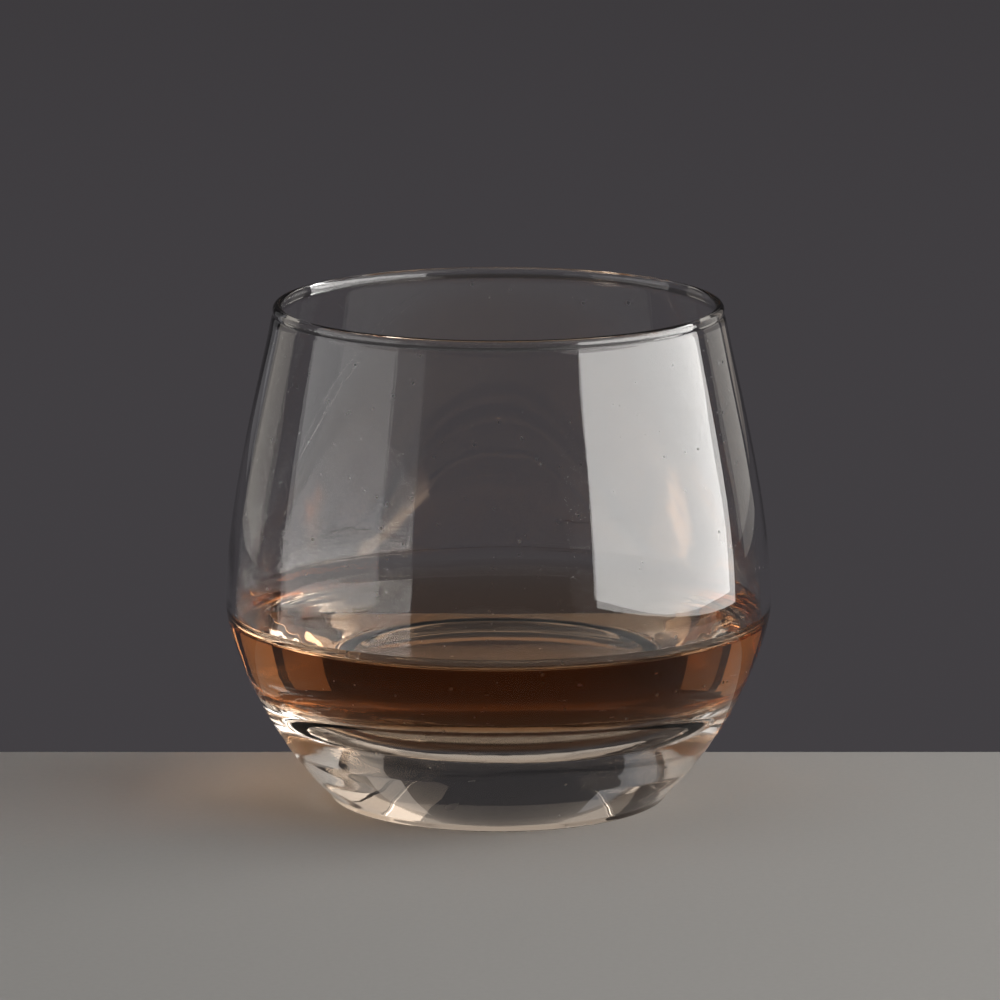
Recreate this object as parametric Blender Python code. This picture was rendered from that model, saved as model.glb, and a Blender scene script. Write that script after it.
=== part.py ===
"""Whiskey tumbler with a pour of whiskey in it, modelled in metres with +Z up.

The glass is one moulded piece: a heavy solid base with a shallow push-up under
it, a belly that is widest low down, and a thin wall that closes in to a beaded
rim. The whiskey is a second solid that lies in the bowl with a hair's gap to
the glass. Both are turned about +Z, and the origin is the middle of the ring
that the tumbler stands on.
"""

import math

import bpy
from mathutils import Vector
from mathutils.geometry import interpolate_bezier

# Outside of the glass.
HEIGHT = 0.0870
BELLY_RADIUS = 0.0475
BELLY_HEIGHT = 0.0345
RIM_RADIUS = 0.0391
RIM_LEAN = math.radians(11.0)
FOOT_RADIUS = 0.0300
FOOT_FLARE = math.radians(47.0)
FOOT_EDGE = 0.0012

# How far each end of an outline curve keeps its own direction.
BELLY_RISE = 0.0170
RIM_RUN = 0.0105
BELLY_DROP = 0.0058
FOOT_RUN = 0.0144

# The rounded bead along the rim: its half sizes, and the wall under it.
BEAD_HALF_WIDTH = 0.00085
BEAD_HALF_HEIGHT = 0.00100
BEAD_WRAP = math.radians(35.0)
NECK_OUTER = 0.00078
NECK_INNER = 0.00050
NECK_DROP = 0.0020

# Thickness of the glass.
BELLY_THICKNESS = 0.0016
BASE_THICKNESS = 0.0150
BOWL_FLAT = 0.0330
BOWL_CORNER = 0.0150

# Underside: a flat bearing ring round a shallow push-up.
BEARING_OUTER = 0.0288
BEARING_INNER = 0.0262
PUSH_UP = 0.0016

# The pour.
WHISKEY_LEVEL = 0.0330
FILL_GAP = 0.0003

# How finely the outlines are cut. 72 steps put a facet edge every five degrees.
TURN_STEPS = 72
CURVE_POINTS = 11
BOWL_POINTS = 13
BEAD_POINTS = 9
NECK_POINTS = 4
PUSH_UP_POINTS = 4
MERGE_DISTANCE = 0.00001


def clear_scene():
    """Remove every object that a new file starts with."""
    for item in list(bpy.data.objects):
        bpy.data.objects.remove(item, do_unlink=True)


def curve(start, start_pull, end_pull, end, count):
    """Points of one smooth curve in the (radius, height) plane."""
    knots = [Vector(start), Vector(start_pull), Vector(end_pull), Vector(end)]
    return [(point.x, point.y) for point in interpolate_bezier(*knots, count)]


def on_rim(across, along):
    """A point measured from the middle of the bead, across the leaning wall and along it."""
    lean_cos = math.cos(RIM_LEAN)
    lean_sin = math.sin(RIM_LEAN)
    reach = math.hypot(BEAD_HALF_WIDTH * lean_cos, BEAD_HALF_HEIGHT * lean_sin)
    rise = math.hypot(BEAD_HALF_WIDTH * lean_sin, BEAD_HALF_HEIGHT * lean_cos)
    return (
        RIM_RADIUS - reach + across * lean_cos - along * lean_sin,
        HEIGHT - rise + across * lean_sin + along * lean_cos,
    )


def neck(side, width):
    """One side of the bead's neck, from the wall up to where the bead starts."""
    across = BEAD_HALF_WIDTH * math.cos(BEAD_WRAP)
    along = -BEAD_HALF_HEIGHT * math.sin(BEAD_WRAP)
    pull_across = across - BEAD_HALF_WIDTH * math.sin(BEAD_WRAP) * 0.4
    pull_along = along - BEAD_HALF_HEIGHT * math.cos(BEAD_WRAP) * 0.4
    return curve(
        on_rim(side * width, -NECK_DROP),
        on_rim(side * width, -NECK_DROP * 0.65),
        on_rim(side * pull_across, pull_along),
        on_rim(side * across, along),
        NECK_POINTS,
    )


def bead():
    """The bead of the rim, over the top from its outer side to its inner side."""
    sweep = math.pi + 2.0 * BEAD_WRAP
    points = []
    for step in range(BEAD_POINTS):
        angle = sweep * step / (BEAD_POINTS - 1) - BEAD_WRAP
        across = BEAD_HALF_WIDTH * math.cos(angle)
        along = BEAD_HALF_HEIGHT * math.sin(angle)
        points.append(on_rim(across, along))
    return points


def outside():
    """The outer side of the glass, from the bearing ring up to the lip."""
    lip = on_rim(NECK_OUTER, -NECK_DROP)
    foot = (FOOT_RADIUS, FOOT_EDGE)
    belly = (BELLY_RADIUS, BELLY_HEIGHT)
    foot_pull = (
        FOOT_RADIUS + FOOT_RUN * math.sin(FOOT_FLARE),
        FOOT_EDGE + FOOT_RUN * math.cos(FOOT_FLARE),
    )
    lip_pull = (lip[0] + RIM_RUN * math.sin(RIM_LEAN), lip[1] - RIM_RUN * math.cos(RIM_LEAN))
    lower = curve(foot, foot_pull, (BELLY_RADIUS, BELLY_HEIGHT - BELLY_DROP), belly, CURVE_POINTS)
    upper = curve(belly, (BELLY_RADIUS, BELLY_HEIGHT + BELLY_RISE), lip_pull, lip, CURVE_POINTS)
    return [(BEARING_OUTER, 0.0)] + lower[:-1] + upper[:-1] + neck(1.0, NECK_OUTER)


def bowl():
    """The inner side of the glass, from the middle of the floor up to the lip."""
    lip = on_rim(-NECK_INNER, -NECK_DROP)
    radius = BELLY_RADIUS - BELLY_THICKNESS
    belly = (radius, BELLY_HEIGHT)
    lip_pull = (lip[0] + RIM_RUN * math.sin(RIM_LEAN), lip[1] - RIM_RUN * math.cos(RIM_LEAN))
    floor = curve(
        (0.0, BASE_THICKNESS),
        (BOWL_FLAT, BASE_THICKNESS),
        (radius, BELLY_HEIGHT - BOWL_CORNER),
        belly,
        BOWL_POINTS,
    )
    wall = curve(belly, (radius, BELLY_HEIGHT + BELLY_RISE), lip_pull, lip, CURVE_POINTS)
    return floor[:-1] + wall[:-1] + neck(-1.0, NECK_INNER)


def underside():
    """The push-up under the base, from its middle out to the bearing ring."""
    points = []
    for step in range(PUSH_UP_POINTS):
        share = step / PUSH_UP_POINTS
        points.append((BEARING_INNER * share, PUSH_UP * (1.0 - share * share)))
    return points + [(BEARING_INNER, 0.0)]


def glass_outline():
    """The whole section of the glass, from the bowl's floor round to the push-up."""
    return bowl() + bead()[::-1][1:-1] + outside()[::-1] + underside()[::-1]


def inset(outline, distance):
    """The outline moved towards the axis side by a distance, square to itself."""
    moved = []
    last = len(outline) - 1
    for index, point in enumerate(outline):
        before = Vector(outline[max(index - 1, 0)])
        after = Vector(outline[min(index + 1, last)])
        along = (after - before).normalized()
        moved.append((max(point[0] - along.y * distance, 0.0), point[1] + along.x * distance))
    return moved


def below(outline, level):
    """The part of a rising outline under a level, ended exactly on it."""
    kept = [outline[0]]
    for lower, upper in zip(outline, outline[1:]):
        if upper[1] >= level:
            share = (level - lower[1]) / (upper[1] - lower[1])
            kept.append((lower[0] + (upper[0] - lower[0]) * share, level))
            break
        kept.append(upper)
    return kept


def whiskey_outline():
    """The section of the pour, from the middle of its surface down to the floor."""
    wetted = below(inset(bowl(), FILL_GAP), WHISKEY_LEVEL)
    wetted[0] = (0.0, wetted[0][1])
    return [(0.0, WHISKEY_LEVEL)] + wetted[::-1]


def finish(name, colour, roughness, transmission, ior):
    """A clear material of one colour."""
    material = bpy.data.materials.new(name)
    material.use_nodes = True
    shader = material.node_tree.nodes["Principled BSDF"]
    shader.inputs["Base Color"].default_value = (*colour, 1.0)
    shader.inputs["Roughness"].default_value = roughness
    shader.inputs["Metallic"].default_value = 0.0
    shader.inputs["Transmission Weight"].default_value = transmission
    shader.inputs["IOR"].default_value = ior
    return material


def turned(name, outline, material):
    """One solid of revolution about +Z from an outline that ends on the axis."""
    mesh = bpy.data.meshes.new(name)
    points = [(radius, 0.0, height) for radius, height in outline]
    edges = [(index, index + 1) for index in range(len(points) - 1)]
    mesh.from_pydata(points, edges, [])
    mesh.materials.append(material)
    item = bpy.data.objects.new(name, mesh)
    bpy.context.scene.collection.objects.link(item)
    screw = item.modifiers.new("turning", "SCREW")
    screw.axis = "Z"
    screw.angle = 2.0 * math.pi
    screw.steps = TURN_STEPS
    screw.render_steps = TURN_STEPS
    screw.use_merge_vertices = True
    screw.merge_threshold = MERGE_DISTANCE
    screw.use_smooth_shade = True
    return item


def build():
    """Make the glass and the whiskey in it."""
    clear_scene()
    clear_glass = finish("clear_glass", (0.93, 0.95, 0.95), 0.02, 1.0, 1.52)
    amber = finish("amber_whiskey", (0.55, 0.20, 0.05), 0.02, 1.0, 1.36)
    turned("glass_body", glass_outline(), clear_glass)
    turned("whiskey", whiskey_outline(), amber)


build()
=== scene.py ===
"""Looks of the whiskey tumbler: smooth glass, the drink in it, and a small studio.

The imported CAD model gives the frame. The glass and the drink are turned again
here from fine outlines, because light bends through every facet of a coarse one,
and each new piece rides on the CAD body that it belongs to.
"""

import logging
import math
from collections.abc import Sequence
from dataclasses import dataclass, field
from enum import Enum
from typing import Any

import bmesh
import bpy
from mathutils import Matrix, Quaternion, Vector, noise
from mathutils.geometry import interpolate_bezier


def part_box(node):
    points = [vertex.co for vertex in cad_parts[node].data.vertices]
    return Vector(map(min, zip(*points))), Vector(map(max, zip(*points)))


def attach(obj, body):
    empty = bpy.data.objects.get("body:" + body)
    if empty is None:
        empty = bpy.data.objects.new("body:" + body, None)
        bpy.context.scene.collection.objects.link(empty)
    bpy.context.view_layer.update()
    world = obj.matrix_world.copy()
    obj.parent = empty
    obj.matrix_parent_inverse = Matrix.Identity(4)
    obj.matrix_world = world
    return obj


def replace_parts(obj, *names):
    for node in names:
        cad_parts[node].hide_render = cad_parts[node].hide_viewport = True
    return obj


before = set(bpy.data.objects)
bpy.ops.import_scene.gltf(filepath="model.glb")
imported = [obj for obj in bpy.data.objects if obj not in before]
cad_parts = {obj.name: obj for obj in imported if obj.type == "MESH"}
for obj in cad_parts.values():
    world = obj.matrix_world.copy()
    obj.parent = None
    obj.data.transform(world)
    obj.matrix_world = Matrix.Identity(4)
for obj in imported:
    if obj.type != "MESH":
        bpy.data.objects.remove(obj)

LOG = logging.getLogger("tumbler")
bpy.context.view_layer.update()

Point = tuple[float, float]
Colour = tuple[float, float, float]
SAME_PLACE = 1e-6


class Slot(Enum):
    """Names of two material slots of the record."""

    GLASS = "clear_glass"
    WHISKEY = "amber_whiskey"


class Body(Enum):
    """CAD bodies that pieces ride on."""

    GLASS = "glass"
    DRINK = "drink"


# --------------------------------------------------------------------------
# Shader expressions
# --------------------------------------------------------------------------


class Value:
    """A number that flows through a node tree, with Python's arithmetic."""

    def __init__(self, graph: "Graph", socket: bpy.types.NodeSocket) -> None:
        """Wrap one output socket of a graph.

        Args:
            graph: The tree that the socket is in.
            socket: The output socket.
        """
        self.graph = graph
        self.socket = socket

    def __add__(self, other: "Number") -> "Value":
        """Sum with a number or another value.

        Args:
            other: The number or value to add.

        Returns:
            The sum.
        """
        return self.graph.maths("ADD", self, other)

    def __mul__(self, other: "Number") -> "Value":
        """Product with a number or another value.

        Args:
            other: The number or value to multiply by.

        Returns:
            The product.
        """
        return self.graph.maths("MULTIPLY", self, other)

    def ramp(self, low: float, high: float, start: float = 0.0, end: float = 1.0) -> "Value":
        """Carry this value from the range low..high to start..end, smoothly and held at both ends.

        Args:
            low: The value that gives start.
            high: The value that gives end.
            start: The result at low.
            end: The result at high.

        Returns:
            The carried value.
        """
        node = self.graph.node(
            "ShaderNodeMapRange",
            {"interpolation_type": "SMOOTHSTEP"},
            {"Value": self, "From Min": low, "From Max": high, "To Min": start, "To Max": end},
        )
        return Value(self.graph, node.outputs["Result"])


Number = float | Value


class Graph:
    """The node tree of one material or of the world, written as expressions."""

    def __init__(self, tree: bpy.types.NodeTree) -> None:
        """Start on an existing tree.

        Args:
            tree: The node tree to add to.
        """
        self.tree = tree

    def node(
        self,
        kind: str,
        settings: dict[str, Any] | None = None,
        inputs: dict[str | int, Any] | None = None,
    ) -> bpy.types.Node:
        """Add a node, set it up, and feed its sockets.

        Args:
            kind: The node's type name.
            settings: Properties of the node, set first.
            inputs: Numbers, colours, values or sockets by input name or index.

        Returns:
            The new node.
        """
        made = self.tree.nodes.new(kind)
        for name, setting in (settings or {}).items():
            setattr(made, name, setting)
        for name, source in (inputs or {}).items():
            self.feed(made.inputs[name], source)
        return made

    def feed(self, target: bpy.types.NodeSocket, source: Any) -> None:
        """Link a value or socket to an input, or set a plain number or colour on it.

        Args:
            target: The input socket.
            source: What it takes.
        """
        if isinstance(source, Value):
            source = source.socket
        if isinstance(source, bpy.types.NodeSocket):
            self.tree.links.new(source, target)
            return
        if isinstance(source, tuple) and len(target.default_value) == 4 and len(source) == 3:
            source = (*source, 1.0)
        target.default_value = source

    def maths(self, operation: str, *operands: Number) -> Value:
        """One Math node on numbers and values.

        Args:
            operation: The node's operation.
            operands: Its inputs, in order.

        Returns:
            Its result.
        """
        made = self.node("ShaderNodeMath", {"operation": operation}, dict(enumerate(operands)))
        return Value(self, made.outputs[0])

    def blend(self, share: Number, first: Any, second: Any) -> bpy.types.NodeSocket:
        """A colour that goes from first to second as share goes from 0 to 1.

        Args:
            share: How much of the second colour there is.
            first: The colour at 0.
            second: The colour at 1.

        Returns:
            The socket of the blended colour.
        """
        made = self.node(
            "ShaderNodeMix",
            {"data_type": "RGBA"},
            {0: share, 6: first, 7: second},
        )
        return made.outputs[2]

    def place(self, stretch: Colour = (1.0, 1.0, 1.0)) -> bpy.types.NodeSocket:
        """Object coordinates, in metres, stretched by a factor on each axis.

        Args:
            stretch: The factors for X, Y and Z.

        Returns:
            The socket of the coordinates.
        """
        made = self.node("ShaderNodeTexCoord")
        if stretch == (1.0, 1.0, 1.0):
            return made.outputs["Object"]
        mapped = self.node(
            "ShaderNodeMapping", {}, {"Vector": made.outputs["Object"], "Scale": stretch}
        )
        return mapped.outputs["Vector"]

    def cloud(self, scale: float, detail: float, stretch: Colour = (1.0, 1.0, 1.0)) -> Value:
        """Soft noise from 0 to 1.

        Args:
            scale: Features per metre.
            detail: Octaves of finer noise.
            stretch: How the pattern is squeezed on each axis.

        Returns:
            The noise value.
        """
        made = self.node(
            "ShaderNodeTexNoise",
            {},
            {"Vector": self.place(stretch), "Scale": scale, "Detail": detail},
        )
        return Value(self, made.outputs["Fac"])

    def dots(self, scale: float, radius: float) -> Value:
        """Scattered round dots, 1 inside and 0 outside, of uneven size.

        Args:
            scale: Dots per metre.
            radius: Radius of the largest, as a share of the distance between dots.

        Returns:
            The dot value.
        """
        cells = self.node("ShaderNodeTexVoronoi", {}, {"Vector": self.place(), "Scale": scale})
        spread = self.node("ShaderNodeSeparateXYZ", {}, {0: cells.outputs["Color"]})
        size = Value(self, spread.outputs["X"]) * radius
        return self.maths("LESS_THAN", Value(self, cells.outputs["Distance"]), size)

    def bump(self, height: Number, distance: float, strength: float) -> bpy.types.NodeSocket:
        """A surface normal tilted by a height pattern.

        Args:
            height: The pattern.
            distance: Height in metres that a pattern value of 1 stands for.
            strength: Share of the tilt that is used.

        Returns:
            The socket of the normal.
        """
        made = self.node(
            "ShaderNodeBump", {}, {"Height": height, "Distance": distance, "Strength": strength}
        )
        return made.outputs["Normal"]


# --------------------------------------------------------------------------
# Finishes
# --------------------------------------------------------------------------


@dataclass(frozen=True)
class ClearGlass:
    """Pressed soda glass with a fire-polished skin.

    Args:
        name: The material's name.
        ior: Index of refraction.
        mirror: How much of the glass's own reflection shows face on, from 0 to 1.
        wave_height: Depth in metres of the slow waves left by the mould.
        smear_roughness: Roughness where a hand or cloth has left a smear.
        speck_roughness: Roughness of a speck of dust.
    """

    name: str
    ior: float = 1.52
    mirror: float = 1.0
    wave_height: float = 0.00012
    smear_roughness: float = 0.035
    speck_roughness: float = 0.55

    def make(self) -> bpy.types.Material:
        """Build the material.

        Returns:
            The new material.
        """
        material = bpy.data.materials.new(self.name)
        material.use_nodes = True
        graph = Graph(material.node_tree)
        shader = material.node_tree.nodes["Principled BSDF"]
        smears = graph.cloud(55.0, 4.0, (1.0, 1.0, 0.35)).ramp(0.56, 0.72)
        specks = graph.dots(260.0, 0.085)
        waves = graph.cloud(60.0, 0.0, (1.0, 1.0, 0.5))
        clean = graph.blend(smears, (1.0, 1.0, 1.0), (0.985, 0.985, 0.98))
        graph.feed(shader.inputs["Base Color"], clean)
        graph.feed(
            shader.inputs["Roughness"],
            smears * self.smear_roughness + specks * self.speck_roughness,
        )
        graph.feed(shader.inputs["Normal"], graph.bump(waves, self.wave_height, 1.0))
        shader.inputs["Transmission Weight"].default_value = 1.0
        shader.inputs["IOR"].default_value = self.ior
        shader.inputs["Specular Tint"].default_value = (self.mirror,) * 3 + (1.0,)
        return material


@dataclass(frozen=True)
class AmberWhiskey:
    """Clear spirit, coloured by the way that light has gone through it.

    Args:
        name: The material's name.
        ior: Index of refraction.
        mirror: How much of its own reflection shows face on, from 0 to 1.
        amber: What one unit of depth leaves of white light.
        density: Units of depth per metre.
        ripple_height: Depth in metres of the faint ripples on its skin.
    """

    name: str
    ior: float = 1.36
    mirror: float = 0.05
    amber: Colour = (0.82, 0.48, 0.11)
    density: float = 43.0
    ripple_height: float = 0.00004

    def make(self) -> bpy.types.Material:
        """Build the material.

        Returns:
            The new material.
        """
        material = bpy.data.materials.new(self.name)
        material.use_nodes = True
        graph = Graph(material.node_tree)
        shader = material.node_tree.nodes["Principled BSDF"]
        streaks = graph.cloud(90.0, 3.0, (1.0, 1.0, 0.4))
        body = graph.blend(streaks, (1.0, 0.985, 0.96), (1.0, 1.0, 1.0))
        graph.feed(shader.inputs["Base Color"], body)
        graph.feed(shader.inputs["Normal"], graph.bump(streaks, self.ripple_height, 1.0))
        shader.inputs["Roughness"].default_value = 0.0
        shader.inputs["Transmission Weight"].default_value = 1.0
        shader.inputs["IOR"].default_value = self.ior
        shader.inputs["Specular Tint"].default_value = (self.mirror,) * 3 + (1.0,)
        volume = graph.node(
            "ShaderNodeVolumeAbsorption", {}, {"Color": self.amber, "Density": self.density}
        )
        output = material.node_tree.nodes["Material Output"]
        graph.feed(output.inputs["Volume"], volume.outputs["Volume"])
        return material


@dataclass(frozen=True)
class MattPaper:
    """A matt sheet or board for the studio.

    Args:
        name: The material's name.
        colour: Its middle colour.
        grain: How far its fibres lighten and darken it.
        roughness: Surface roughness.
    """

    name: str
    colour: Colour
    grain: float = 0.04
    roughness: float = 0.75

    def make(self) -> bpy.types.Material:
        """Build the material.

        Returns:
            The new material.
        """
        material = bpy.data.materials.new(self.name)
        material.use_nodes = True
        graph = Graph(material.node_tree)
        shader = material.node_tree.nodes["Principled BSDF"]
        fibres = graph.cloud(900.0, 3.0)
        darker = tuple(channel * (1.0 - self.grain) for channel in self.colour)
        lighter = tuple(channel * (1.0 + self.grain) for channel in self.colour)
        graph.feed(shader.inputs["Base Color"], graph.blend(fibres, darker, lighter))
        shader.inputs["Roughness"].default_value = self.roughness
        graph.feed(shader.inputs["Normal"], graph.bump(fibres, 0.00002, 0.5))
        return material


# --------------------------------------------------------------------------
# Outlines and turning
# --------------------------------------------------------------------------


def curve(start: Point, start_pull: Point, end_pull: Point, end: Point, count: int) -> list[Point]:
    """Points of one smooth curve in the (radius, height) plane.

    Args:
        start: Where the curve begins.
        start_pull: The point that it sets off towards.
        end_pull: The point that it arrives from.
        end: Where it ends.
        count: How many points to give.

    Returns:
        The points, from start to end.
    """
    knots = [Vector(point) for point in (start, start_pull, end_pull, end)]
    return [(point.x, point.y) for point in interpolate_bezier(*knots, count)]


def inset(outline: Sequence[Point], distance: float) -> list[Point]:
    """A rising outline moved towards the axis by a distance, square to itself.

    Args:
        outline: Points of (radius, height).
        distance: How far it moves, or a negative distance to move it out.

    Returns:
        The moved outline.
    """
    last = len(outline) - 1
    moved = []
    for index, (radius, height) in enumerate(outline):
        before = Vector(outline[max(index - 1, 0)])
        after = Vector(outline[min(index + 1, last)])
        along = (after - before).normalized()
        moved.append((max(radius - along.y * distance, 0.0), height + along.x * distance))
    return moved


def below(outline: Sequence[Point], level: float) -> list[Point]:
    """The part of a rising outline under a level, ended exactly on it.

    Args:
        outline: Points of (radius, height).
        level: Height of the cut.

    Returns:
        The lower part.
    """
    kept = [outline[0]]
    for lower, upper in zip(outline, outline[1:]):
        if upper[1] >= level:
            share = (level - lower[1]) / (upper[1] - lower[1])
            kept.append((lower[0] + (upper[0] - lower[0]) * share, level))
            break
        kept.append(upper)
    return kept


def radius_at(outline: Sequence[Point], level: float) -> float:
    """Radius of a rising outline at a level.

    Args:
        outline: Points of (radius, height).
        level: The height.

    Returns:
        The radius there.
    """
    return below(outline, level)[-1][0]


def turned(outline: Sequence[Point], steps: int) -> bmesh.types.BMesh:
    """A solid of revolution about +Z from an outline whose ends are on the axis.

    Args:
        outline: Points of (radius, height).
        steps: Segments round the axis.

    Returns:
        A closed mesh whose faces point outwards.
    """
    mesh = bmesh.new()
    corners = [mesh.verts.new((radius, 0.0, height)) for radius, height in outline]
    for first, second in zip(corners, corners[1:]):
        mesh.edges.new((first, second))
    bmesh.ops.spin(
        mesh,
        geom=[*mesh.verts, *mesh.edges],
        cent=(0.0, 0.0, 0.0),
        axis=(0.0, 0.0, 1.0),
        angle=math.tau,
        steps=steps,
        use_merge=True,
    )
    bmesh.ops.remove_doubles(mesh, verts=mesh.verts, dist=SAME_PLACE)
    bmesh.ops.recalc_face_normals(mesh, faces=mesh.faces)
    return mesh


def finished(
    name: str,
    mesh: bmesh.types.BMesh,
    materials: Sequence[bpy.types.Material],
    body: Body,
) -> bpy.types.Object:
    """Turn a bmesh into a smooth piece that rides on a body.

    Args:
        name: The piece's name.
        mesh: Its shape, which is freed.
        materials: Its materials, in the order of its faces' indices.
        body: The CAD body that it moves with.

    Returns:
        The new object.
    """
    data = bpy.data.meshes.new(name)
    mesh.to_mesh(data)
    mesh.free()
    data.shade_smooth()
    for material in materials:
        data.materials.append(material)
    piece = bpy.data.objects.new(name, data)
    bpy.context.scene.collection.objects.link(piece)
    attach(piece, body.value)
    LOG.info("%s: %d faces on body %s", name, len(data.polygons), body.value)
    return piece


# --------------------------------------------------------------------------
# The glass
# --------------------------------------------------------------------------


@dataclass(frozen=True)
class GlassShape:
    """The section of the glass, from its driving sizes in metres.

    Args:
        height: Height of the lip.
        belly_radius: Widest outside radius.
        level: Height of the drink in the CAD model.
        belly_height: Height of the widest point.
        rim_radius: Outside radius of the lip.
        rim_lean: How far the wall leans in at the lip.
        foot_radius: Outside radius just above the foot.
        foot_flare: Lean of the wall out from the foot.
        foot_edge: Height of the foot's rounded edge.
        belly_rise: How far the belly stays upright above its widest point.
        rim_run: How far the lip's lean reaches down.
        belly_drop: How far the belly stays upright below its widest point.
        foot_run: How far the foot's flare reaches up.
        bead_half_width: Half the width of the bead along the rim.
        bead_half_height: Half its height.
        bead_wrap: How far the bead turns back under itself.
        neck_outer: From the bead's middle line to the outer side of the wall under it.
        neck_inner: From the same line to the inner side.
        neck_drop: How far below the bead's middle its neck starts.
        belly_thickness: Thickness of the wall at the belly.
        base_thickness: Thickness of the base in the middle.
        bowl_flat: How far out the bowl's floor stays level.
        bowl_corner: How far the bowl's wall stays upright below the belly.
        bearing_outer: Outer radius of the ring that the glass stands on.
        bearing_inner: Inner radius of that ring.
        push_up: Depth of the hollow under the base.
    """

    height: float
    belly_radius: float
    level: float
    belly_height: float = 0.0345
    rim_radius: float = 0.0391
    rim_lean: float = math.radians(11.0)
    foot_radius: float = 0.0300
    foot_flare: float = math.radians(47.0)
    foot_edge: float = 0.0012
    belly_rise: float = 0.0170
    rim_run: float = 0.0105
    belly_drop: float = 0.0058
    foot_run: float = 0.0144
    bead_half_width: float = 0.00085
    bead_half_height: float = 0.00100
    bead_wrap: float = math.radians(35.0)
    neck_outer: float = 0.00078
    neck_inner: float = 0.00050
    neck_drop: float = 0.0020
    belly_thickness: float = 0.0016
    base_thickness: float = 0.0150
    bowl_flat: float = 0.0330
    bowl_corner: float = 0.0150
    bearing_outer: float = 0.0288
    bearing_inner: float = 0.0262
    push_up: float = 0.0016

    @classmethod
    def from_frame(cls) -> "GlassShape":
        """Take the outer sizes and the level of the drink from the CAD nodes.

        Returns:
            The section at the size of the CAD model.
        """
        low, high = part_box("glass_body")
        _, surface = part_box("whiskey")
        return cls(height=high.z - low.z, belly_radius=(high.x - low.x) / 2, level=surface.z)

    def on_rim(self, across: float, along: float) -> Point:
        """A point from the middle of the bead, across the leaning wall and along it.

        Args:
            across: How far out it is.
            along: How far up it is.

        Returns:
            The point.
        """
        lean_cos = math.cos(self.rim_lean)
        lean_sin = math.sin(self.rim_lean)
        reach = math.hypot(self.bead_half_width * lean_cos, self.bead_half_height * lean_sin)
        rise = math.hypot(self.bead_half_width * lean_sin, self.bead_half_height * lean_cos)
        return (
            self.rim_radius - reach + across * lean_cos - along * lean_sin,
            self.height - rise + across * lean_sin + along * lean_cos,
        )

    def bead(self, count: int) -> list[Point]:
        """The bead of the rim, over the top from its outer to its inner side.

        Args:
            count: How many points to give.

        Returns:
            The points, in that order.
        """
        sweep = math.pi + 2.0 * self.bead_wrap
        angles = [sweep * step / (count - 1) - self.bead_wrap for step in range(count)]
        return [
            self.on_rim(
                self.bead_half_width * math.cos(angle), self.bead_half_height * math.sin(angle)
            )
            for angle in angles
        ]

    def neck(self, side: float, width: float, count: int) -> list[Point]:
        """One side of the bead's neck, from the wall up to where the bead starts.

        Args:
            side: 1 for the outer side and -1 for the inner side.
            width: From the bead's middle line to that side of the wall.
            count: How many points to give.

        Returns:
            The points, going up.
        """
        across = self.bead_half_width * math.cos(self.bead_wrap)
        along = -self.bead_half_height * math.sin(self.bead_wrap)
        pull_across = across - self.bead_half_width * math.sin(self.bead_wrap) * 0.4
        pull_along = along - self.bead_half_height * math.cos(self.bead_wrap) * 0.4
        return curve(
            self.on_rim(side * width, -self.neck_drop),
            self.on_rim(side * width, -self.neck_drop * 0.65),
            self.on_rim(side * pull_across, pull_along),
            self.on_rim(side * across, along),
            count,
        )

    def under_lip(self, lip: Point) -> Point:
        """The point below one side of the lip that the wall arrives from.

        Args:
            lip: Where that side of the wall ends.

        Returns:
            The point below it.
        """
        run = self.rim_run
        return (lip[0] + run * math.sin(self.rim_lean), lip[1] - run * math.cos(self.rim_lean))

    def outside(self, count: int) -> list[Point]:
        """The outer side, from the bearing ring up to the lip.

        Args:
            count: Points on the upper curve, and half of those on the lower one.

        Returns:
            The points, going up.
        """
        lip = self.on_rim(self.neck_outer, -self.neck_drop)
        foot = (self.foot_radius, self.foot_edge)
        belly = (self.belly_radius, self.belly_height)
        flare = (
            self.foot_radius + self.foot_run * math.sin(self.foot_flare),
            self.foot_edge + self.foot_run * math.cos(self.foot_flare),
        )
        drop = (self.belly_radius, self.belly_height - self.belly_drop)
        rise = (self.belly_radius, self.belly_height + self.belly_rise)
        edge = curve(
            (self.bearing_outer, 0.0),
            (self.foot_radius - self.foot_edge * 0.4, 0.0),
            (self.foot_radius - self.foot_edge * 0.3, self.foot_edge * 0.6),
            foot,
            7,
        )
        lower = curve(foot, flare, drop, belly, 2 * count)
        upper = curve(belly, rise, self.under_lip(lip), lip, count)
        return edge[:-1] + lower[:-1] + upper[:-1] + self.neck(1.0, self.neck_outer, 9)

    def bowl(self, count: int) -> list[Point]:
        """The inner side, from the middle of the floor up to the lip.

        Args:
            count: Points on each of its two curves.

        Returns:
            The points, going up.
        """
        lip = self.on_rim(-self.neck_inner, -self.neck_drop)
        radius = self.belly_radius - self.belly_thickness
        belly = (radius, self.belly_height)
        floor = curve(
            (0.0, self.base_thickness),
            (self.bowl_flat, self.base_thickness),
            (radius, self.belly_height - self.bowl_corner),
            belly,
            count,
        )
        rise = (radius, self.belly_height + self.belly_rise)
        wall = curve(belly, rise, self.under_lip(lip), lip, count)
        return floor[:-1] + wall[:-1] + self.neck(-1.0, self.neck_inner, 9)

    def underside(self, count: int) -> list[Point]:
        """The push-up, from its middle out to the bearing ring.

        Args:
            count: How many points to give.

        Returns:
            The points, going out.
        """
        shares = [step / (count - 1) for step in range(count)]
        return [
            (self.bearing_inner * share, self.push_up * (1.0 - share * share)) for share in shares
        ]


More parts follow.
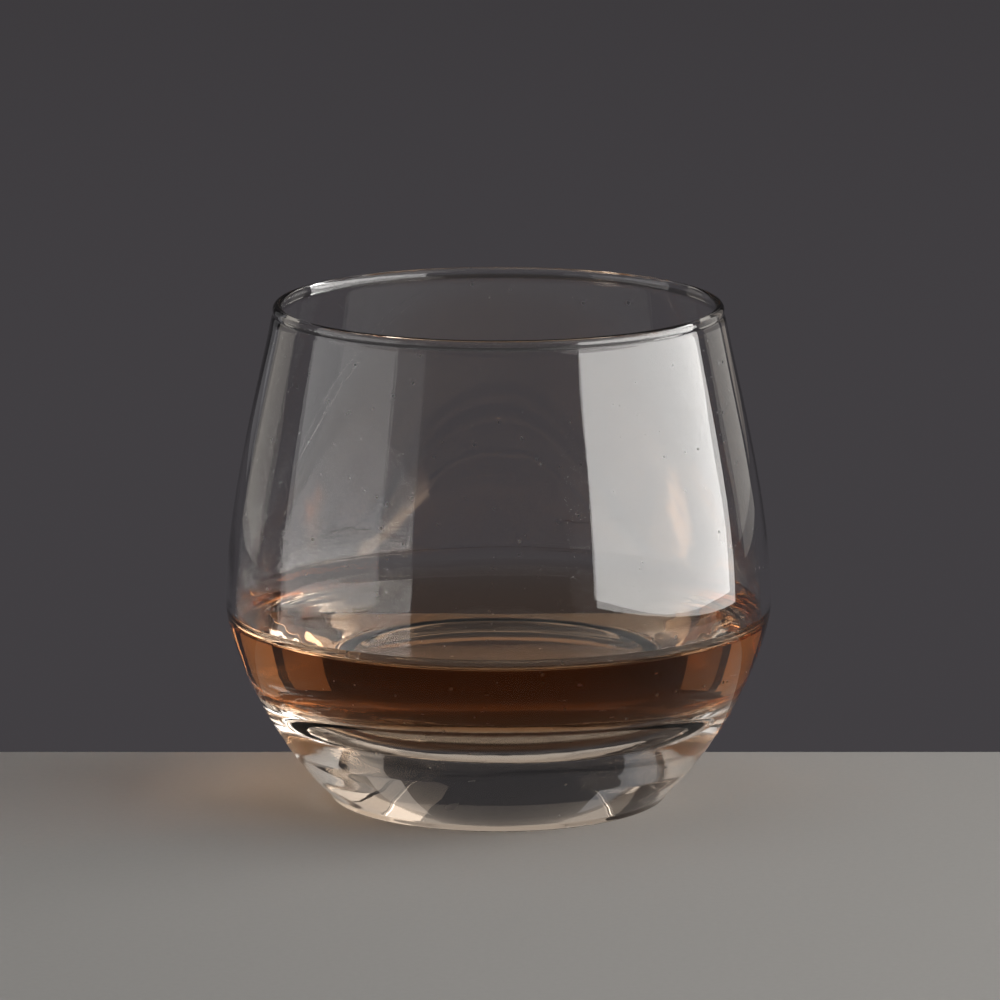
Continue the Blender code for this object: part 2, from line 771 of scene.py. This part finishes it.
@dataclass
class GlassBody:
    """The tumbler itself, one moulding with a dry and a wetted skin.

    Args:
        shape: The section of the glass.
        dry: Finish of the glass in air.
        wetted: Finish of the glass against the drink.
        painted_shade_lower: Finish of the outer side below the level of the drink: the same glass
            with its reflection dimmed to a tenth, as painted shade.
        steps: Segments round the axis.
        curve_points: Points on each outline curve.
        wobble: How far the inner wall strays from round, in metres.
        wobble_size: Length in metres over which it strays.
        ridge: Depth in metres of the soft level ridges round the outside of the base.
        ridge_foot: Height above the table where those ridges start.
        ridge_top: Height above the table where they have died away.
        ridge_size: Length and height in metres of one ridge.
    """

    shape: GlassShape
    dry: ClearGlass = field(default_factory=lambda: ClearGlass("clear_glass"))
    wetted: ClearGlass = field(default_factory=lambda: ClearGlass("wetted_glass", mirror=0.0))
    # Painted shade: the same clear glass with its reflection dimmed to a tenth, for the faces
    # under the drink's level that are not the wetted bowl.
    painted_shade_lower: ClearGlass = field(default_factory=lambda: ClearGlass("painted_shade_glass", mirror=0.10))
    steps: int = 288
    curve_points: int = 56
    wobble: float = 0.00006
    wobble_size: float = 0.016
    ridge: float = 0.00007
    ridge_foot: float = 0.0018
    ridge_top: float = 0.019
    ridge_size: tuple[float, float] = (0.030, 0.0034)

    def outline(self) -> list[Point]:
        """The closed section, from the bowl's floor over the lip to the push-up.

        Returns:
            The points, in that order.
        """
        bowl = self.shape.bowl(self.curve_points)
        bead = self.shape.bead(25)[::-1][1:-1]
        outside = self.shape.outside(self.curve_points)[::-1]
        return bowl + bead + outside + self.shape.underside(15)[::-1]

    def ridge_at(self, place: Vector) -> float:
        """How far the soft ridges of the base push a point of its outer side outwards.

        Args:
            place: The point, between the foot and the top of the ridges.

        Returns:
            The push in metres.
        """
        length, rise = self.ridge_size
        above_foot = (place.z - self.ridge_foot) / 0.002
        below_top = (self.ridge_top - place.z) / 0.006
        cell = Vector((place.x / length, place.y / length, place.z / rise))
        return noise.noise(cell) * self.ridge * min(1.0, above_foot, below_top)

    def wander(self, mesh: bmesh.types.BMesh) -> None:
        """Let the walls stray a little from a true turned shape, as moulded glass does.

        Args:
            mesh: The turned glass, with its normals up to date.
        """
        inner = self.shape.belly_radius - self.shape.belly_thickness
        for corner in mesh.verts:
            radius = math.hypot(corner.co.x, corner.co.y)
            upright = abs(corner.normal.z) < 0.75
            facing_in = corner.normal.x * corner.co.x + corner.normal.y * corner.co.y < 0.0
            in_ridges = self.ridge_foot < corner.co.z < self.ridge_top
            if radius > inner * 0.5 and upright and facing_in:
                offset = noise.noise(corner.co / self.wobble_size) * self.wobble
                corner.co += corner.normal * offset
            elif corner.normal.z < 0.0 and in_ridges and not facing_in:
                corner.co += corner.normal * self.ridge_at(corner.co)

    def build(self) -> bpy.types.Object:
        """Make the glass and hide the CAD solid that it stands for.

        Returns:
            The new object.
        """
        mesh = turned(self.outline(), self.steps)
        mesh.normal_update()
        self.wander(mesh)
        inner = self.shape.belly_radius - self.shape.belly_thickness + SAME_PLACE
        for face in mesh.faces:
            centre = face.calc_center_median()
            if centre.z < self.shape.level:
                bowl = face.normal.z > 0.0 and math.hypot(centre.x, centre.y) < inner
                # Index 2 is the glass whose reflection is dimmed as painted shade.
                face.material_index = 1 if bowl else 2
        finishes = [finish.make() for finish in (self.dry, self.wetted, self.painted_shade_lower)]
        piece = finished("tumbler_glass", mesh, finishes, Body.GLASS)
        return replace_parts(piece, "glass_body")


# --------------------------------------------------------------------------
# The drink
# --------------------------------------------------------------------------


@dataclass
class Pour:
    """The whiskey, from the floor of the bowl to its skin and the rise at the wall.

    Args:
        shape: The section of the glass.
        finish: Finish of the drink.
        steps: Segments round the axis.
        curve_points: Points on each outline curve.
        bite: How far its side lies inside the glass, so that no air is between them.
        sink: How far its level middle lies below the CAD level.
        climb: How far it climbs the wall.
        climb_length: Length over which the climb dies away.
    """

    shape: GlassShape
    finish: AmberWhiskey = field(default_factory=lambda: AmberWhiskey("amber_whiskey"))
    steps: int = 288
    curve_points: int = 56
    bite: float = 0.0004
    sink: float = 0.0016
    climb: float = 0.0026
    climb_length: float = 0.0019

    def outline(self) -> list[Point]:
        """The closed section, from the middle of the skin down to the floor.

        Returns:
            The points, in that order.
        """
        bowl = self.shape.bowl(self.curve_points)
        level = self.shape.level - self.sink
        top = level + self.climb
        wetted = below(inset(bowl, -self.bite), top)
        wetted[0] = (0.0, wetted[0][1])
        wall = radius_at(bowl, top)
        shares = [step / 47 for step in range(48)]
        skin = []
        for share in shares:
            radius = wall * (1.0 - (1.0 - share) ** 2)
            rise = self.climb * math.exp((radius - wall) / self.climb_length)
            skin.append((radius, level + rise))
        return skin + wetted[::-1]

    def build(self) -> bpy.types.Object:
        """Make the drink and hide the CAD solid that it stands for.

        Returns:
            The new object.
        """
        mesh = turned(self.outline(), self.steps)
        piece = finished("whiskey_pour", mesh, [self.finish.make()], Body.DRINK)
        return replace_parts(piece, "whiskey")


@dataclass
class WallFilm:
    """Thin wet film that the drink has left on the wall above its surface.

    Args:
        shape: The section of the glass.
        finish: Finish of the drink.
        bearings: First and last bearing in degrees, from the camera's side.
        foot: Height where the film starts.
        reach: How far above that it reaches at the most.
        thickness: Thickness of the film.
        seed: Picks the shape of its upper edge.
        columns: Faces along the film.
        rows: Faces up the film.
    """

    shape: GlassShape
    finish: AmberWhiskey
    bearings: tuple[float, float]
    foot: float = 0.0334
    reach: float = 0.0105
    thickness: float = 0.00006
    seed: float = 0.0
    columns: int = 180
    rows: int = 24

    def edge(self, bearing: float) -> float:
        """Share of the full reach that the film has at a bearing, from 0 to 1.

        Args:
            bearing: The bearing in radians.

        Returns:
            The share.
        """
        slow = noise.noise(Vector((bearing * 3.0, self.seed, 0.0)))
        quick = noise.noise(Vector((bearing * 19.0, self.seed, 4.0)))
        return min(max(0.55 + 0.55 * slow + 0.04 * quick, 0.06), 1.0)

    def build(self, name: str) -> bpy.types.Object:
        """Make the film on the inner wall.

        Args:
            name: The piece's name.

        Returns:
            The new object.
        """
        bowl = self.shape.bowl(120)
        first, last = (math.radians(bearing) for bearing in self.bearings)
        mesh = bmesh.new()
        bmesh.ops.create_grid(mesh, x_segments=self.columns, y_segments=self.rows, size=0.5)
        for corner in mesh.verts:
            across = corner.co.x + 0.5
            bearing = first + (last - first) * across
            taper = min(1.0, 8.0 * across, 8.0 * (1.0 - across))
            height = self.foot + self.reach * self.edge(bearing) * taper * (corner.co.y + 0.5)
            radius = radius_at(bowl, height) - SAME_PLACE * 4.0
            corner.co = (radius * math.sin(bearing), -radius * math.cos(bearing), height)
        bmesh.ops.recalc_face_normals(mesh, faces=mesh.faces)
        inward = sum(face.normal.dot(face.calc_center_median().xy.to_3d()) for face in mesh.faces)
        if inward > 0.0:
            bmesh.ops.reverse_faces(mesh, faces=mesh.faces)
        bmesh.ops.solidify(mesh, geom=mesh.faces[:], thickness=-self.thickness)
        bmesh.ops.recalc_face_normals(mesh, faces=mesh.faces)
        return finished(name, mesh, [self.finish.make()], Body.GLASS)


@dataclass
class Bubbles:
    """A few small bubbles that cling to the edge of the drink.

    Args:
        shape: The section of the glass.
        finish: Finish of their skin.
        places: Bearing in degrees, height above the level and radius of each bubble.
    """

    shape: GlassShape
    finish: AmberWhiskey
    places: tuple[tuple[float, float, float], ...] = (
        (-33.5, 0.0002, 0.00055),
        (-31.0, 0.0001, 0.00035),
        (-36.0, 0.0003, 0.00030),
        (24.0, 0.0002, 0.00030),
        (141.0, 0.0003, 0.00045),
        (-158.0, 0.0002, 0.00040),
    )

    def build(self) -> bpy.types.Object:
        """Make the bubbles as small round balls just inside the wall.

        Returns:
            The new object.
        """
        bowl = self.shape.bowl(120)
        mesh = bmesh.new()
        for bearing, lift, size in self.places:
            height = self.shape.level + lift
            reach = radius_at(bowl, height) - size * 1.3
            turn = math.radians(bearing)
            place = Vector((reach * math.sin(turn), -reach * math.cos(turn), height))
            made = bmesh.ops.create_icosphere(mesh, subdivisions=3, radius=size)
            bmesh.ops.translate(mesh, vec=place, verts=made["verts"])
        return finished("bubbles", mesh, [self.finish.make()], Body.DRINK)


# --------------------------------------------------------------------------
# The studio
# --------------------------------------------------------------------------


def link(name: str, data: bpy.types.ID) -> bpy.types.Object:
    """Put a new object in the scene.

    Args:
        name: The object's name.
        data: Its mesh, light or camera.

    Returns:
        The new object.
    """
    made = bpy.data.objects.new(name, data)
    bpy.context.scene.collection.objects.link(made)
    return made


@dataclass(frozen=True)
class Softbox:
    """A soft rectangular light, placed by the stretch of sky that it fills.

    Args:
        name: The light's name.
        azimuth: First and last bearing in degrees, from the camera's side, positive to the right.
        elevation: Lowest and highest angle in degrees, from the belly of the glass.
        distance: Distance from the glass in metres.
        radiance: Brightness of its face.
        colour: Colour of its light.
        roll: Degrees that it leans over, seen from behind it.
    """

    name: str
    azimuth: tuple[float, float]
    elevation: tuple[float, float]
    distance: float
    radiance: float
    colour: Colour = (1.0, 1.0, 1.0)
    roll: float = 0.0

    def build(self, target: Vector) -> bpy.types.Object:
        """Add the light, facing the target.

        Args:
            target: The point that it faces.

        Returns:
            The new object.
        """
        bearing = math.radians(sum(self.azimuth) / 2)
        rise = math.radians(sum(self.elevation) / 2)
        half_width = math.radians(self.azimuth[1] - self.azimuth[0]) / 2
        half_height = math.radians(self.elevation[1] - self.elevation[0]) / 2
        way = Vector(
            (
                math.sin(bearing) * math.cos(rise),
                -math.cos(bearing) * math.cos(rise),
                math.sin(rise),
            )
        )
        data = bpy.data.lights.new(self.name, "AREA")
        data.shape = "RECTANGLE"
        data.size = 2.0 * self.distance * math.tan(half_width)
        data.size_y = 2.0 * self.distance * math.tan(half_height)
        data.energy = self.radiance * math.pi * data.size * data.size_y
        data.color = self.colour
        light = link(self.name, data)
        light.location = target + way * self.distance
        lean = Quaternion((0.0, 0.0, 1.0), math.radians(self.roll))
        light.rotation_euler = ((-way).to_track_quat("-Z", "Y") @ lean).to_euler()
        light.visible_camera = False
        return light


@dataclass
class Studio:
    """A pale table, soft lights round it and the dark room behind them.

    Args:
        belly: The point that the lights face.
        table_back: How far behind the glass the table ends.
        table_width: Width of the table top.
        table_depth: Depth of the table top, towards the camera.
        table_thickness: Thickness of the table top.
        table_rounding: Radius of its edges.
        low_room: Colour of the room below and level with the table.
        high_room: Colour of the room above it.
        softboxes: The lights.
    """

    belly: Vector
    table_back: float = 0.034
    table_width: float = 0.50
    table_depth: float = 1.60
    table_thickness: float = 0.018
    table_rounding: float = 0.004
    low_room: Colour = (0.054, 0.050, 0.055)
    high_room: Colour = (0.028, 0.026, 0.027)
    softboxes: tuple[Softbox, ...] = (
        Softbox("key_right", (41.0, 118.0), (-7.2, 26.0), 0.75, 4.6, (1.0, 0.985, 0.96), -5.0),
        Softbox("key_middle", (41.0, 112.0), (26.0, 44.0), 0.78, 0.95, (1.0, 0.97, 0.93)),
        Softbox("key_above", (41.0, 100.0), (44.0, 60.0), 0.80, 0.70, (1.0, 0.95, 0.89)),
        Softbox("fill_left", (-104.0, -52.0), (-6.6, 26.0), 0.80, 0.95, (1.0, 0.99, 0.97), 5.0),
        Softbox("fill_left_edge", (-52.0, -36.0), (-4.0, 26.0), 0.80, 0.25),
        Softbox("back_right", (149.0, 159.0), (-5.0, 45.0), 1.0, 0.17, (1.0, 0.88, 0.76)),
        Softbox("side_right", (127.0, 146.0), (-6.0, 15.0), 1.0, 0.42, (1.0, 0.95, 0.87)),
        Softbox("side_left", (-143.0, -122.0), (-6.0, 15.0), 1.0, 0.32, (1.0, 0.93, 0.82)),
        Softbox("back_left", (-156.0, -146.0), (-5.0, 45.0), 1.0, 0.12, (0.97, 0.97, 1.0)),
        Softbox("overhead", (-34.0, 34.0), (58.0, 120.0), 1.1, 0.36),
    )

    def table(self) -> bpy.types.Object:
        """Make the pale table top that the glass stands on.

        Returns:
            The new object.
        """
        mesh = bmesh.new()
        made = bmesh.ops.create_cube(mesh, size=1.0)
        size = Vector((self.table_width, self.table_depth, self.table_thickness))
        middle = Vector((0.0, self.table_back - self.table_depth / 2, -self.table_thickness / 2))
        bmesh.ops.scale(mesh, vec=size, verts=made["verts"])
        bmesh.ops.translate(mesh, vec=middle, verts=made["verts"])
        bmesh.ops.bevel(
            mesh,
            geom=mesh.edges[:],
            offset=self.table_rounding,
            segments=6,
            profile=0.5,
            affect="EDGES",
            material=-1,
        )
        data = bpy.data.meshes.new("pale_table")
        mesh.to_mesh(data)
        mesh.free()
        data.materials.append(MattPaper("pale_table", (0.48, 0.47, 0.455)).make())
        made = link("pale_table", data)
        return made

    def room(self) -> bpy.types.World:
        """Make the room, grey behind the table and darker above it.

        Returns:
            The new world.
        """
        world = bpy.data.worlds.new("room")
        world.use_nodes = True
        graph = Graph(world.node_tree)
        direction = graph.node("ShaderNodeTexCoord")
        split = graph.node("ShaderNodeSeparateXYZ", {}, {0: direction.outputs["Generated"]})
        upward = Value(graph, split.outputs["Z"]).ramp(-0.19, 0.02)
        graph.feed(
            world.node_tree.nodes["Background"].inputs["Color"],
            graph.blend(upward, self.low_room, self.high_room),
        )
        bpy.context.scene.world = world
        return world

    def build(self) -> None:
        """Set up the whole studio."""
        self.table()
        self.room()
        for softbox in self.softboxes:
            softbox.build(self.belly)
            LOG.info("light %s", softbox.name)


@dataclass(frozen=True)
class Viewpoint:
    """A long lens that looks a little down on the glass.

    Args:
        aim: The point in the middle of the picture.
        distance: From the aim to the camera.
        fall: Angle in degrees that the camera looks down.
        focal_length: Of the lens, in millimetres on a 36 mm sensor.
    """

    aim: Vector
    distance: float = 1.2
    fall: float = 11.2
    focal_length: float = 248.4

    def build(self) -> bpy.types.Object:
        """Add the camera and make it the scene's own.

        Returns:
            The new object.
        """
        tilt = math.radians(self.fall)
        data = bpy.data.cameras.new("camera")
        data.lens = self.focal_length
        data.sensor_width = 36.0
        camera = link("camera", data)
        away = Vector((0.0, -math.cos(tilt), math.sin(tilt)))
        camera.location = self.aim + away * self.distance
        camera.rotation_euler = (math.pi / 2 - tilt, 0.0, 0.0)
        bpy.context.scene.camera = camera
        return camera


def set_light_paths() -> None:
    """Let light pass through every wall of glass and drink, and keep its caustics."""
    scene = bpy.context.scene
    scene.view_settings.view_transform = "Standard"
    scene.cycles.max_bounces = 24
    scene.cycles.transmission_bounces = 24
    scene.cycles.glossy_bounces = 10
    scene.cycles.volume_bounces = 2
    scene.cycles.caustics_reflective = True
    scene.cycles.caustics_refractive = True
    scene.cycles.blur_glossy = 0.0
    scene.cycles.use_denoising = True


def main() -> None:
    """Build the tumbler, its drink and the studio in order."""
    logging.basicConfig(level=logging.INFO, format="%(name)s: %(message)s")
    shape = GlassShape.from_frame()
    GlassBody(shape).build()
    Pour(shape).build()
    amber = AmberWhiskey("amber_film")
    WallFilm(shape, amber, (112.0, 172.0), seed=1.7).build("wet_film_right")
    WallFilm(shape, amber, (-166.0, -118.0), reach=0.0070, seed=5.2).build("wet_film_left")
    Bubbles(shape, AmberWhiskey("bubble_skin")).build()
    Studio(belly=Vector((0.0, 0.0, shape.belly_height * 1.25))).build()
    Viewpoint(aim=Vector((0.00026, 0.0, shape.height * 0.6))).build()
    set_light_paths()


if __name__ == "__main__":
    main()
